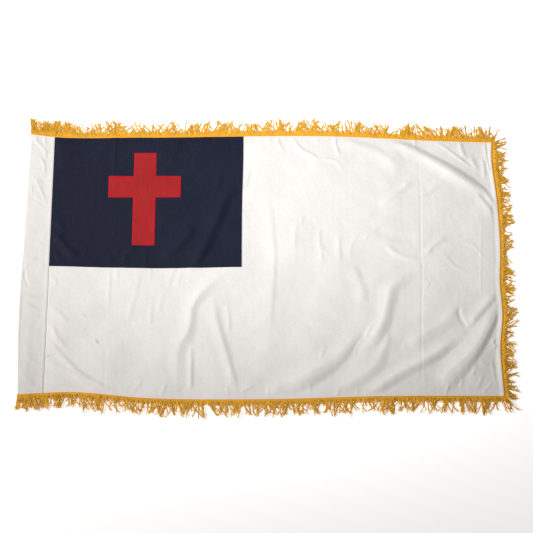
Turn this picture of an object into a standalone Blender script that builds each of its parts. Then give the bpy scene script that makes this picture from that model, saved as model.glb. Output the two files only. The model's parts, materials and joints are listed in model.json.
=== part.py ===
# A fringed flag of 3 ft by 5 ft lying face up: a white field with a navy canton and a red cross
# at the upper hoist corner, a white pole sleeve down the hoist, and gold fringe on the other sides.
# All sizes are in metres. +X runs from the hoist to the fly, +Y to the top edge, +Z out of the face.
# The origin is under the middle of the flag, on the surface it lies on.

import math
from collections import namedtuple

import bmesh
import bpy
import numpy as np

# Cloth
cloth_thickness = 0.0012
clearance = 0.0003
layer_step = cloth_thickness + clearance
cell_size = 0.027

# Flat sizes, measured along the cloth from the seam between sleeve and field
seam_x = -0.7345
seam_overlap = 0.010
field_length = 1.524
canton_length = 0.651
canton_height = 0.466
lower_height = 0.444
hem_under_fringe = 0.010

# Cross, measured from the canton's lower edge and its hoist edge
cross_height = 0.329
cross_span = 0.248
arm_width = 0.077
cross_foot_height = 0.080
crossbar_height = 0.249
cross_centre_inset = 0.316

# Pole sleeve
sleeve_crown = 0.0105
layer_gap = 0.0004
sleeve_cells = 18
crown_shares = (0.25, 0.50, 0.64, 0.78, 0.90)

# Fringe: each lock leaves its heading's outer rim, comes down to the surface at its knee and ends at its tip
heading_width = 0.012
heading_thickness = 0.0016
lock_root = 0.0100
lock_tip = 0.0050
knee_share = 0.40

Station = namedtuple("Station", "along across")
Fold = namedtuple("Fold", "name height left_flank right_flank crest")
Run = namedtuple("Run", "name locks reach fan")

# The lengths of fringe: how many locks each has, how far they reach past the heading, and how far the
# last one at each end leans out.
fringe_runs = (
    Run("fringe_top", 88, 0.044, (0.000, 0.026)),
    Run("fringe_fly", 50, 0.025, (0.002, 0.002)),
    Run("fringe_bottom", 88, 0.037, (0.022, 0.000)),
    Run("fringe_sleeve_top", 6, 0.044, (0.003, 0.000)),
    Run("fringe_sleeve_bottom", 6, 0.037, (0.000, 0.003)),
)

# The line along which each heading's inner edge lies on the cloth: position along it, then its offset.
top_line = (
    Station(-0.817, 0.458),
    Station(-0.745, 0.4515),
    Station(-0.425, 0.4495),
    Station(0.255, 0.453),
    Station(0.594, 0.440),
    Station(0.778, 0.434),
)
bottom_line = (
    Station(-0.819, -0.452),
    Station(-0.655, -0.439),
    Station(-0.402, -0.459),
    Station(0.000, -0.463),
    Station(0.379, -0.453),
    Station(0.778, -0.452),
)
fly_line = (
    Station(-0.452, 0.778),
    Station(-0.285, 0.775),
    Station(-0.183, 0.789),
    Station(-0.062, 0.785),
    Station(0.025, 0.792),
    Station(0.223, 0.788),
    Station(0.382, 0.776),
    Station(0.434, 0.778),
)

# The hoist fold of the sleeve, and the line of the canton's lower edge carried on to the fly.
hoist_line = (
    Station(-0.460, -0.819),
    Station(-0.230, -0.827),
    Station(0.150, -0.8225),
    Station(0.465, -0.817),
)
waist_line = (
    Station(-0.734, -0.009),
    Station(-0.400, -0.016),
    Station(-0.085, -0.0125),
    Station(0.790, -0.0125),
)

# Folds in the field. Each crest is followed downwards, and its flanks are the widths to its left and right
# as it is followed: the wide flank is the gentle one.
folds = (
    Fold("top fly", 0.012, 0.030, 0.052,
         ((0.400, 0.450), (0.480, 0.418), (0.590, 0.358), (0.690, 0.300), (0.775, 0.232))),
    Fold("fly upper", 0.005, 0.026, 0.034,
         ((0.690, 0.258), (0.733, 0.205), (0.780, 0.155))),
    Fold("top swell", 0.007, 0.040, 0.075,
         ((0.270, 0.440), (0.361, 0.390), (0.412, 0.340), (0.395, 0.285), (0.335, 0.230))),
    Fold("middle swell", 0.004, 0.045, 0.045,
         ((0.495, 0.300), (0.420, 0.240), (0.335, 0.190))),
    Fold("middle fly", 0.004, 0.050, 0.040,
         ((0.355, 0.075), (0.450, 0.028), (0.540, 0.040), (0.610, 0.080), (0.690, 0.050))),
    Fold("centre", 0.011, 0.036, 0.052,
         ((0.495, -0.020), (0.440, -0.066), (0.407, -0.120), (0.385, -0.204), (0.325, -0.300))),
    Fold("lower centre", 0.010, 0.034, 0.056,
         ((0.345, -0.215), (0.283, -0.285), (0.167, -0.366), (0.020, -0.430))),
    Fold("lower branch", 0.008, 0.030, 0.042,
         ((0.393, -0.275), (0.372, -0.340), (0.290, -0.400), (0.175, -0.445))),
    Fold("lower fly", 0.012, 0.036, 0.058,
         ((0.660, -0.225), (0.585, -0.290), (0.457, -0.366), (0.335, -0.440))),
    Fold("corner", 0.020, 0.046, 0.072,
         ((0.772, -0.120), (0.745, -0.204), (0.670, -0.305), (0.574, -0.403), (0.530, -0.448))),
    Fold("fly lower", 0.009, 0.034, 0.050,
         ((0.770, -0.078), (0.714, -0.156), (0.645, -0.245))),
    Fold("canton", 0.006, 0.040, 0.060,
         ((-0.120, 0.275), (-0.170, 0.180), (-0.200, 0.090), (-0.250, 0.000))),
    Fold("under canton", 0.008, 0.032, 0.050,
         ((-0.130, -0.020), (-0.215, -0.105), (-0.262, -0.200), (-0.293, -0.300), (-0.306, -0.445))),
    Fold("lower hoist ridge", 0.006, 0.028, 0.028,
         ((-0.254, -0.290), (-0.252, -0.445))),
    Fold("lower middle", 0.006, 0.030, 0.050,
         ((-0.180, -0.120), (-0.161, -0.228), (-0.134, -0.316), (-0.092, -0.435))),
    Fold("hoist corner", 0.007, 0.030, 0.045,
         ((-0.728, -0.262), (-0.690, -0.313), (-0.615, -0.380), (-0.494, -0.448))),
)
fold_margin = 0.030
crest_samples = 20

navy = (0.020, 0.022, 0.050, 1.0)
red = (0.420, 0.020, 0.030, 1.0)
white = (0.780, 0.765, 0.745, 1.0)
gold = (0.780, 0.390, 0.035, 1.0)


def smooth(line, along):
    """Offset of a line of stations at a position along it, as one smooth curve."""
    places = np.array([station.along for station in line])
    offsets = np.array([station.across for station in line])
    slopes = np.gradient(offsets, places)
    along = np.clip(along, places[0], places[-1])
    left = np.clip(np.searchsorted(places, along) - 1, 0, len(places) - 2)
    width = places[left + 1] - places[left]
    t = (along - places[left]) / width
    rise = t * t * (3 - 2 * t)
    start_pull = t * (1 - t) ** 2 * width * slopes[left]
    end_pull = t * t * (1 - t) * width * slopes[left + 1]
    return offsets[left] * (1 - rise) + offsets[left + 1] * rise + start_pull - end_pull


def ease(t):
    """Smooth step from 0 to 1."""
    t = np.clip(t, 0, 1)
    return t * t * (3 - 2 * t)


canton_left = seam_x + 0.001
canton_right = seam_x + canton_length
fly_inner = seam_x + field_length - hem_under_fringe


def lie(p, q):
    """Where a point of the flat cloth lies: p from the hoist, q up from the canton's lower edge."""
    waist = smooth(waist_line, p)
    up = np.clip(q / canton_height, 0, 1)
    down = np.clip(-q / lower_height, 0, 1)
    past = np.maximum(q - canton_height, 0) - np.maximum(-q - lower_height, 0)
    y = waist + up * (smooth(top_line, p) - waist) + down * (smooth(bottom_line, p) - waist) + past
    reach = np.clip((p - canton_right) / (fly_inner - canton_right), 0, 1)
    x = np.minimum(p, canton_right) + reach * (smooth(fly_line, y) - canton_right)
    return x + np.maximum(p - fly_inner, 0), y


def crest_curve(points):
    """Points along a smooth curve through the crest's own points."""
    points = np.array(points)
    steps = np.arange(len(points))
    fine = np.linspace(0, len(points) - 1, crest_samples)
    tracks = []
    for axis in (0, 1):
        line = [Station(step, value) for step, value in zip(steps, points[:, axis])]
        tracks.append(smooth(line, fine))
    return np.stack(tracks, axis=1)


def fold_height(fold, x, y):
    """Height that one fold lifts the cloth at each place, dying out at both ends of its crest."""
    crest = crest_curve(fold.crest)
    best = np.full(x.shape, np.inf)
    height = np.zeros(x.shape)
    for i in range(len(crest) - 1):
        run = crest[i + 1] - crest[i]
        length = np.hypot(*run)
        dx = x - crest[i, 0]
        dy = y - crest[i, 1]
        t = np.clip((dx * run[0] + dy * run[1]) / length ** 2, 0, 1)
        away = np.hypot(dx - t * run[0], dy - t * run[1])
        on_left = run[0] * dy - run[1] * dx > 0
        flank = np.where(on_left, fold.left_flank, fold.right_flank)
        s = np.clip(away / flank, 0, 1)
        travelled = (i + t) / (len(crest) - 1)
        ends = ease(travelled / 0.25) * ease((1 - travelled) / 0.18) * 0.75 + 0.25
        lift = fold.height * ends * (1 - s * s) ** 2
        height = np.where(away < best, lift, height)
        best = np.minimum(best, away)
    return height


def cloth_height(p, q, x, y):
    """Height of the cloth's underside: flat but for the folds, and flat again under its edges."""
    total = np.zeros(x.shape)
    for fold in folds:
        total += fold_height(fold, x, y) ** 2
    from_edge = np.minimum(np.minimum(canton_height - q, q + lower_height), fly_inner - p)
    from_edge = np.minimum(from_edge, p - canton_left)
    return np.sqrt(total) * ease(from_edge / fold_margin)


def divide(marks, cell):
    """The marks, with each gap between two of them cut evenly into parts no longer than a cell."""
    lines = [marks[0]]
    for start, end in zip(marks, marks[1:]):
        count = max(1, math.ceil((end - start) / cell - 1e-6))
        lines.extend(start + (end - start) * k / count for k in range(1, count + 1))
    return lines


cross_centre = canton_left + cross_centre_inset
cross_marks = (
    cross_centre - cross_span / 2,
    cross_centre - arm_width / 2,
    cross_centre + arm_width / 2,
    cross_centre + cross_span / 2,
)
column_marks = (
    seam_x - seam_overlap,
    canton_left,
    *cross_marks,
    canton_right,
    fly_inner,
    fly_inner + hem_under_fringe,
)
row_marks = (
    -lower_height - hem_under_fringe,
    -lower_height,
    0.0,
    cross_foot_height,
    crossbar_height,
    crossbar_height + arm_width,
    cross_foot_height + cross_height,
    canton_height,
    canton_height + hem_under_fringe,
)


def in_canton(p, q):
    return canton_left < p < canton_right and 0 < q < canton_height


def in_cross(p, q):
    left, arm_left, arm_right, right = cross_marks
    upright = arm_left < p < arm_right and 0 < q - cross_foot_height < cross_height
    bar = left < p < right and 0 < q - crossbar_height < arm_width
    return upright or bar


def lying_cloth():
    """One sheet over the whole field, its cells lined up with the canton and the cross."""
    columns = divide(column_marks, cell_size)
    rows = divide(row_marks, cell_size)
    bm = bmesh.new()
    bmesh.ops.create_grid(bm, x_segments=len(columns) - 1, y_segments=len(rows) - 1, size=0.5)
    flat_p = bm.verts.layers.float.new("p")
    flat_q = bm.verts.layers.float.new("q")
    p = np.array([columns[round((v.co.x + 0.5) * (len(columns) - 1))] for v in bm.verts])
    q = np.array([rows[round((v.co.y + 0.5) * (len(rows) - 1))] for v in bm.verts])
    x, y = lie(p, q)
    z = cloth_height(p, q, x, y)
    for i, vert in enumerate(bm.verts):
        vert.co = (x[i], y[i], z[i])
        vert[flat_p] = p[i]
        vert[flat_q] = q[i]
    bmesh.ops.triangulate(bm, faces=bm.faces, quad_method="SHORT_EDGE")
    bm.normal_update()
    return bm


def material(name, colour, roughness):
    finish = bpy.data.materials.new(name)
    finish.use_nodes = True
    shader = finish.node_tree.nodes["Principled BSDF"]
    shader.inputs["Base Color"].default_value = colour
    shader.inputs["Roughness"].default_value = roughness
    shader.inputs["Metallic"].default_value = 0.0
    finish.diffuse_color = colour
    return finish


def add_object(name, bm, finish, thickness):
    """An object made from an open sheet, thickened upwards."""
    mesh = bpy.data.meshes.new(name)
    bm.to_mesh(mesh)
    bm.free()
    mesh.materials.append(finish)
    piece = bpy.data.objects.new(name, mesh)
    collection.objects.link(piece)
    solid = piece.modifiers.new("thickness", "SOLIDIFY")
    solid.thickness = thickness
    solid.offset = 1.0
    return piece


def add_layer(name, sheet, level, finish, inside=None):
    """A piece of cloth that lies on the sheet's folds, a number of layers above its underside."""
    bm = sheet.copy()
    flat_p = bm.verts.layers.float["p"]
    flat_q = bm.verts.layers.float["q"]
    lift = level * layer_step
    for vert in bm.verts:
        vert.co += vert.normal * lift
    if inside is not None:
        outside = []
        for face in bm.faces:
            p = sum(v[flat_p] for v in face.verts) / 3
            q = sum(v[flat_q] for v in face.verts) / 3
            if not inside(p, q):
                outside.append(face)
        bmesh.ops.delete(bm, geom=outside, context="FACES")
    return add_object(name, bm, finish, cloth_thickness)


def end_line(line, x, lap):
    """Where the cloth ends past a heading's inner line."""
    return float(smooth(line, x)) + lap


def crown_at(share_up):
    """Height of the sleeve's outer face, a little uneven along its length."""
    return sleeve_crown * (1 + 0.03 * math.sin(9 * share_up) + 0.02 * math.sin(23 * share_up + 1))


def sleeve_section(hoist_x, crown):
    """The sleeve's section, as the middle of its cloth: flange, floor layer, hoist fold, crown."""
    half = cloth_thickness / 2
    flange_start = seam_x - seam_overlap - clearance
    low = layer_step + half
    high = low + cloth_thickness + layer_gap
    top = crown - half
    radius = (top - half) / 2
    centre = hoist_x + half + radius
    section = [
        (seam_x - half, high),
        (seam_x - half, low),
        (flange_start, low),
        (flange_start - seam_overlap, half),
    ]
    for angle in (270, 225, 180, 135, 90):
        turn = math.radians(angle)
        section.append((centre + radius * math.cos(turn), half + radius * (1 + math.sin(turn))))
    for share in crown_shares:
        section.append((centre + (flange_start - centre) * share, top + (high - top) * crown_fall(share)))
    section.append((flange_start, high))
    return section


def crown_fall(share):
    """How far the crown has come down towards the flange, from 0 to 1."""
    return ease((share - 0.5) / 0.5)


def hoist_at(share_up):
    """The hoist fold's place, a share of the way up the sleeve."""
    y = bottom_line[0].across + share_up * (top_line[0].across - bottom_line[0].across)
    return float(smooth(hoist_line, y))


def add_sleeve(finish):
    """A grid wrapped round into a tube of cloth with both ends open."""
    around = len(sleeve_section(0.0, sleeve_crown))
    bm = bmesh.new()
    bmesh.ops.create_grid(bm, x_segments=around, y_segments=sleeve_cells, size=0.5)
    for vert in bm.verts:
        place = round((vert.co.x + 0.5) * around) % around
        share_up = vert.co.y + 0.5
        x, z = sleeve_section(hoist_at(share_up), crown_at(share_up))[place]
        low_end = end_line(bottom_line, x, -hem_under_fringe)
        high_end = end_line(top_line, x, hem_under_fringe)
        vert.co = (x, low_end + (high_end - low_end) * share_up, z)
    bmesh.ops.remove_doubles(bm, verts=bm.verts, dist=1e-6)
    piece = add_object("pole_sleeve", bm, finish, cloth_thickness)
    piece.modifiers["thickness"].offset = 0.0
    return piece


def along_top(share):
    """Place on the top heading's inner line, with the way its locks point."""
    start = seam_x + 0.002
    end = float(smooth(fly_line, top_line[-1].across)) + heading_width
    x = start + (end - start) * share
    return x, end_line(top_line, x, clearance), layer_step, (0, 1)


def along_bottom(share):
    """Place on the bottom heading's inner line, from the fly back to the hoist."""
    start = float(smooth(fly_line, bottom_line[-1].across)) + heading_width
    end = seam_x + 0.002
    x = start + (end - start) * share
    return x, end_line(bottom_line, x, -clearance), layer_step, (0, -1)


def along_fly(share):
    """Place on the fly heading's inner line, from the top down, between the other two headings."""
    start = top_line[-1].across - clearance
    end = bottom_line[-1].across + clearance
    y = start + (end - start) * share
    return float(smooth(fly_line, y)) + clearance, y, layer_step, (1, 0)


def over_crown(x, share_up):
    """Height just above the sleeve's outer face."""
    centre = hoist_at(share_up) + crown_at(share_up) / 2
    flange_start = seam_x - seam_overlap - clearance
    share = (x - centre) / (flange_start - centre)
    flange_top = layer_step + 2 * cloth_thickness + layer_gap
    crown = crown_at(share_up)
    return crown + (flange_top - crown) * float(crown_fall(share)) + 2 * clearance


def along_sleeve_top(share):
    start = hoist_at(1.0) + 0.002
    end = seam_x - 0.001
    x = start + (end - start) * share
    return x, end_line(top_line, x, 0.0), over_crown(x, 1.0), (0, 1)


def along_sleeve_bottom(share):
    start = seam_x - 0.001
    end = hoist_at(0.0) + 0.002
    x = start + (end - start) * share
    return x, end_line(bottom_line, x, 0.0), over_crown(x, 0.0), (0, -1)


def lean(run, lock):
    """How far a lock's tip lies to one side: they lie in loose tufts, and fan out at the ends."""
    tuft = 0.0040 * math.sin(1.7 * lock) + 0.0045 * math.sin(0.61 * lock + 1)
    from_start = lock / 5
    from_end = (run.locks - 1 - lock) / 5
    fan = run.fan[1] * (1 - ease(from_end)) - run.fan[0] * (1 - ease(from_start))
    return tuft * float(ease(min(from_start, from_end))) + fan


def rim_shares(locks, length):
    """Shares of a heading's length: its start, both sides of each lock's root, and its end."""
    half_root = lock_root / length / 2
    shares = [0.0]
    for lock in range(locks):
        middle = (lock + 0.5) / locks
        shares += [middle - half_root, middle + half_root]
    return shares + [1.0]


def lock_corner(run, place_at, lock, side, share_out):
    """Where one side of a lock lies on the surface, a share of the way from its root to its tip."""
    x, y, z, out = place_at((lock + 0.5) / run.locks)
    uneven = 1 + 0.09 * math.sin(2.3 * lock) + 0.07 * math.sin(5.1 * lock + 2)
    depth = heading_width + run.reach * uneven * share_out
    width = lock_root + (lock_tip - lock_root) * share_out
    aside = lean(run, lock) * share_out ** 1.6 + side * width / 2
    way = (out[1], -out[0])
    return x + out[0] * depth + way[0] * aside, y + out[1] * depth + way[1] * aside, 0.0


def add_fringe(run, place_at, finish):
    """A heading made from a strip of cells, with a lock drawn out from every second cell of its rim."""
    length = math.dist(place_at(0.0)[:2], place_at(1.0)[:2])
    shares = rim_shares(run.locks, length)
    cells = len(shares) - 1
    bm = bmesh.new()
    bmesh.ops.create_grid(bm, x_segments=cells, y_segments=1, size=0.5)
    order = bm.verts.layers.int.new("order")
    rim = set()
    for vert in bm.verts:
        vert[order] = round((vert.co.x + 0.5) * cells)
        x, y, z, out = place_at(shares[vert[order]])
        depth = heading_width if vert.co.y > 0 else 0.0
        vert.co = (x + out[0] * depth, y + out[1] * depth, z)
        if depth:
            rim.add(vert)
    ends = [edge for edge in bm.edges
            if set(edge.verts) <= rim and min(vert[order] for vert in edge.verts) % 2]
    for share_out in (knee_share, 1.0):
        grown = bmesh.ops.extrude_edge_only(bm, edges=ends)["geom"]
        corners = {item for item in grown if isinstance(item, bmesh.types.BMVert)}
        for vert in corners:
            side = -1 if vert[order] % 2 else 1
            vert.co = lock_corner(run, place_at, (vert[order] - 1) // 2, side, share_out)
        ends = [edge for edge in bm.edges if set(edge.verts) <= corners]
    bmesh.ops.recalc_face_normals(bm, faces=bm.faces)
    if sum(face.normal.z for face in bm.faces) < 0:
        bmesh.ops.reverse_faces(bm, faces=bm.faces)
    return add_object(run.name, bm, finish, heading_thickness)


for old in list(bpy.data.objects):
    bpy.data.objects.remove(old)

collection = bpy.data.collections.new("fringed flag")
bpy.context.scene.collection.children.link(collection)

white_cloth = material("white cloth", white, 0.85)
navy_cloth = material("navy cloth", navy, 0.85)
red_cloth = material("red cloth", red, 0.80)
gold_yarn = material("gold yarn", gold, 0.55)

cloth = lying_cloth()
add_layer("field", cloth, 0, white_cloth)
add_layer("canton", cloth, 1, navy_cloth, in_canton)
add_layer("cross", cloth, 2, red_cloth, in_cross)
cloth.free()
add_sleeve(white_cloth)

routes = (along_top, along_fly, along_bottom, along_sleeve_top, along_sleeve_bottom)
for run, route in zip(fringe_runs, routes):
    add_fringe(run, route, gold_yarn)
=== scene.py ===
# A fringed Christian flag lying face up: white cloth, navy canton, red cross, pole sleeve and gold fringe.
# Metres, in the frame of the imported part: +X from the hoist to the fly, +Y to the top edge, +Z up.
import json
import math

import bpy
import numpy as np
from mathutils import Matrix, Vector

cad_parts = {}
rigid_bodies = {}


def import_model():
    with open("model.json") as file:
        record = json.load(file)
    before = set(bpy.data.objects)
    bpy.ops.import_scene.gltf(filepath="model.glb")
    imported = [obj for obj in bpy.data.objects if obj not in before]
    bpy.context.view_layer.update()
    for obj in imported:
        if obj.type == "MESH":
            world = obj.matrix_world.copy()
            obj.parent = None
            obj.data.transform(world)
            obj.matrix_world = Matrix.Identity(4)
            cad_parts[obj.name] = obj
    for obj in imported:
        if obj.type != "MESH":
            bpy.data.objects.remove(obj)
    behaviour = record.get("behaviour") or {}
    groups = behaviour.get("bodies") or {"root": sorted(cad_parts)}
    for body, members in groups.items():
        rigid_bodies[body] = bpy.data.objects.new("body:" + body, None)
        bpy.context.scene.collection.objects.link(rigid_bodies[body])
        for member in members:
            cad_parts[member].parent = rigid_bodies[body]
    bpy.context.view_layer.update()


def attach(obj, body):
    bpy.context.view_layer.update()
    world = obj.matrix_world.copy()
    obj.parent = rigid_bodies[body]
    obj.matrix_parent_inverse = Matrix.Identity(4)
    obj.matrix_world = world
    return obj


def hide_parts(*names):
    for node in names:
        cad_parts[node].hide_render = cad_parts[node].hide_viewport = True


for old in list(bpy.data.objects):
    bpy.data.objects.remove(old)

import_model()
flagCollection = bpy.data.collections.new("flag")
bpy.context.scene.collection.children.link(flagCollection)
print("frame loaded")

# View, floor and light

camera = {
    "aim": (0.0, -0.0125, 0.0),
    "distance": 4.245,
    "tilt": 15.0,  # degrees away from straight down
    "lens": 85.0,
    "sensor": 36.0,
    "farthest": 50.0,
}
studio = {
    "floorSize": 14.0,
    "floorDrop": 0.0002,
    "floorColour": (0.94, 0.94, 0.94, 1.0),
    "floorRoughness": 0.9,
    "floorGlow": 0.45,  # lets the paper go clean white under the softer light near the bottom edge
    "surround": 0.10,
    "lamps": (
        # name, place, aim, size, power, colour
        ("sideLamp", (-6.0, -0.3, 2.9), (0.0, 0.0, 0.0), 1.6, 415.0, (1.0, 0.940, 0.915)),
        ("topLamp", (0.00, -0.14, 1.58), (0.1, 3.1, 0.0), 0.7, 36.0, (1.0, 1.0, 0.995)),
    ),
}


def addToScene(name, data):
    thing = bpy.data.objects.new(name, data)
    bpy.context.scene.collection.objects.link(thing)
    return thing


def setInputs(node, values):
    for name, value in values.items():
        node.inputs[name].default_value = value


def addCamera():
    tilt = math.radians(camera["tilt"])
    eye = addToScene("camera", bpy.data.cameras.new("camera"))
    eye.data.lens = camera["lens"]
    eye.data.sensor_width = camera["sensor"]
    eye.data.clip_end = camera["farthest"]
    away = Vector((0.0, -math.sin(tilt), math.cos(tilt)))
    eye.location = Vector(camera["aim"]) + camera["distance"] * away
    eye.rotation_euler = (tilt, 0.0, 0.0)
    bpy.context.scene.camera = eye


def addFloor():
    half = studio["floorSize"] / 2
    mesh = bpy.data.meshes.new("floor")
    corners = [(-half, -half, 0), (half, -half, 0), (half, half, 0), (-half, half, 0)]
    mesh.from_pydata(corners, [], [(0, 1, 2, 3)])
    floor = addToScene("floor", mesh)
    floor.location.z = -studio["floorDrop"]
    paper = bpy.data.materials.new("floorPaper")
    paper.use_nodes = True
    setInputs(paper.node_tree.nodes["Principled BSDF"], {
        "Base Color": studio["floorColour"],
        "Roughness": studio["floorRoughness"],
        "Specular IOR Level": 0.0,
        "Emission Color": (1, 1, 1, 1),
        "Emission Strength": studio["floorGlow"],
    })
    mesh.materials.append(paper)


def addLight():
    for name, place, aim, size, power, colour in studio["lamps"]:
        light = bpy.data.lights.new(name, "AREA")
        light.size = size
        light.energy = power
        light.color = colour
        lamp = addToScene(name, light)
        lamp.visible_camera = False
        lamp.location = place
        lamp.rotation_euler = (Vector(aim) - Vector(place)).to_track_quat("-Z", "Y").to_euler()
    world = bpy.data.worlds.new("softBox")
    world.use_nodes = True
    setInputs(world.node_tree.nodes["Background"], {"Color": (1, 1, 1, 1), "Strength": studio["surround"]})
    bpy.context.scene.world = world
    bpy.context.scene.view_settings.view_transform = "Standard"


addCamera()
addFloor()
addLight()
print("camera, floor and lamps placed")

# The flag's own lines, the same as its solids have

seamX = -0.7345
seamOverlap = 0.010
fieldLength = 1.524
hemUnderFringe = 0.010
cantonHeight = 0.466
cantonLength = 0.651
lowerHeight = 0.444
cantonLeft = seamX + 0.001
cantonRight = seamX + cantonLength
flyInner = seamX + fieldLength - hemUnderFringe

# Where the headings' inner edges, the hoist fold and the canton's lower edge lie: place along, then offset
topLine = (
    (-0.817, 0.458), (-0.745, 0.4515), (-0.425, 0.4495), (0.255, 0.453), (0.594, 0.4365), (0.778, 0.4305),
)
bottomLine = (
    (-0.819, -0.4485), (-0.655, -0.4395), (-0.402, -0.459), (0.000, -0.463), (0.379, -0.453), (0.778, -0.452),
)
flyLine = (
    (-0.452, 0.779), (-0.285, 0.7745), (-0.183, 0.786), (-0.062, 0.783), (0.025, 0.789), (0.223, 0.786),
    (0.382, 0.775), (0.434, 0.778),
)
hoistLine = ((-0.460, -0.819), (-0.230, -0.827), (0.150, -0.8225), (0.465, -0.817))
waistLine = ((-0.734, -0.0115), (-0.400, -0.0195), (-0.085, -0.0155), (0.790, -0.0125))


def ease(t):
    t = np.clip(t, 0, 1)
    return t * t * (3 - 2 * t)


# offset of a line at a place along it, as one smooth curve through its stations
def smoothLine(line, along):
    places, offsets = np.array(line).T
    slopes = np.gradient(offsets, places)
    along = np.clip(along, places[0], places[-1])
    left = np.clip(np.searchsorted(places, along) - 1, 0, len(places) - 2)
    width = places[left + 1] - places[left]
    t = (along - places[left]) / width
    rise = t * t * (3 - 2 * t)
    startPull = t * (1 - t) ** 2 * width * slopes[left]
    endPull = t * t * (1 - t) * width * slopes[left + 1]
    return offsets[left] * (1 - rise) + offsets[left + 1] * rise + startPull - endPull


# where a point of the flat cloth lies: p from the hoist, q up from the canton's lower edge
def lie(p, q):
    waist = smoothLine(waistLine, p)
    up = np.clip(q / cantonHeight, 0, 1)
    down = np.clip(-q / lowerHeight, 0, 1)
    past = np.maximum(q - cantonHeight, 0) - np.maximum(-q - lowerHeight, 0)
    y = waist + up * (smoothLine(topLine, p) - waist) + down * (smoothLine(bottomLine, p) - waist) + past
    reach = np.clip((p - cantonRight) / (flyInner - cantonRight), 0, 1)
    x = np.minimum(p, cantonRight) + reach * (smoothLine(flyLine, y) - cantonRight)
    return x + np.maximum(p - flyInner, 0), y


# Folds and creases, in millimetres. Each is a crest walked from its first point to its last: its height, the
# widths of the flanks on the walker's left and right, and where the left flank is steepest: 0.5 beside a
# crisp crest, 1 halfway down, more towards the foot. A point may also tell its share of the height, and of
# the left flank's width. Folds blend where they meet, and creases are added on top.

mainFolds = (
    # across the top fly corner, and the two below it
    (8.8, 27, 40, 1.2, ((413, 441, 0.56, 0.9), (491, 407, 0.62, 0.9), (568, 362, 0.8, 1.05),
     (656, 303, 1, 1.3), (728, 257, 0.66, 1), (758, 236, 0.2, 0.7))),
    (3, 13, 20, 0.8, ((723, 283), (750, 247), (772, 214), (780, 194, 0.3))),
    (3, 15, 28, 0.8, ((698, 274), (737, 220), (760, 188, 0.8), (768, 146, 0.2))),
    # swells below the top edge
    (3, 26, 42, 0.9, ((262, 450), (312, 424), (371, 400), (418, 370), (440, 338))),
    (2.2, 40, 55, 1, ((413, 403), (440, 367), (442, 330), (417, 294), (389, 258))),
    (3.4, 22, 30, 0.9, ((499, 294), (464, 262), (429, 233), (387, 200))),
    (3.1, 19, 26, 0.9, ((599, 287), (556, 254), (515, 236), (456, 222), (401, 200))),
    # middle of the fly half
    (2.8, 18, 16, 0.8, ((398, 62), (434, 34), (471, 16), (518, 9))),
    (2.8, 14, 24, 0.8, ((608, 87), (581, 73), (556, 51), (535, 27))),
    (7.2, 37, 42, 1, ((520, -26, 0.3), (455, -53, 0.45), (416, -88, 0.7), (402, -140, 0.88),
     (385, -205, 0.95), (364, -245, 0.9), (326, -296, 0.6))),
    (2.8, 28, 42, 1, ((284, -8), (306, -60), (319, -102), (314, -147))),
    # lower fly quarter
    (7.4, 38, 58, 1.3, ((316, -226, 0.5, 0.5), (280, -270, 0.7, 0.7), (245, -311, 0.95, 1),
     (204, -341, 1, 1.2), (147, -376, 1.3, 1.3), (40, -421, 1.5, 1.3))),
    (3.8, 36, 36, 1, ((393, -222, 0.35, 0.4), (400, -262, 0.5, 0.5), (386, -298, 0.7, 0.7), (370, -333),
     (334, -373), (281, -403), (192, -440))),
    (6.6, 33, 36, 1.05, ((648, -243, 0.8, 0.9), (573, -300), (514, -334), (447, -369), (386, -409),
     (335, -444))),
    (8, 31, 58, 1.45, ((765, -148, 0.85, 1), (730, -223, 1, 1), (681, -302, 1, 1.15), (614, -364, 1, 1.7),
     (552, -420, 0.9, 1.8))),
    (5.4, 24, 36, 1.2, ((766, -103, 0.4), (736, -139), (704, -177), (672, -214))),
    (3.4, 40, 36, 1, ((640, -150), (584, -205), (523, -242), (466, -276))),
    # canton, and on below it
    (11.5, 34, 48, 1, ((-91, 276), (-142, 233), (-165, 172), (-195, 101), (-228, 27), (-258, -12))),
    (7, 34, 46, 0.72, ((-123, -26, 0.5, 1.2), (-180, -67, 0.85, 1.2), (-223, -109, 1, 1),
     (-249, -153, 0.8, 0.8), (-255, -205, 0.75, 0.9), (-264, -242, 0.75, 1), (-287, -276, 0.65, 1.2),
     (-296, -316, 0.5, 1.3), (-295, -373, 0.36, 1.3), (-290, -446, 0.32, 1.3))),
    (2.8, 11, 24, 0.7, ((-250, -289), (-248, -446))),
    (3.4, 19, 36, 0.95, ((-180, -129), (-163, -215), (-141, -289), (-119, -367), (-100, -433))),
    # lower hoist quarter
    (3.6, 16, 34, 0.65, ((-738, -246, 0.4, 0.6), (-695, -296, 0.5, 0.6), (-657, -340, 0.8), (-614, -380),
     (-564, -410), (-500, -440))),
    (1.8, 14, 22, 0.8, ((-745, -198), (-713, -225), (-695, -259), (-650, -310))),
)

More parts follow.
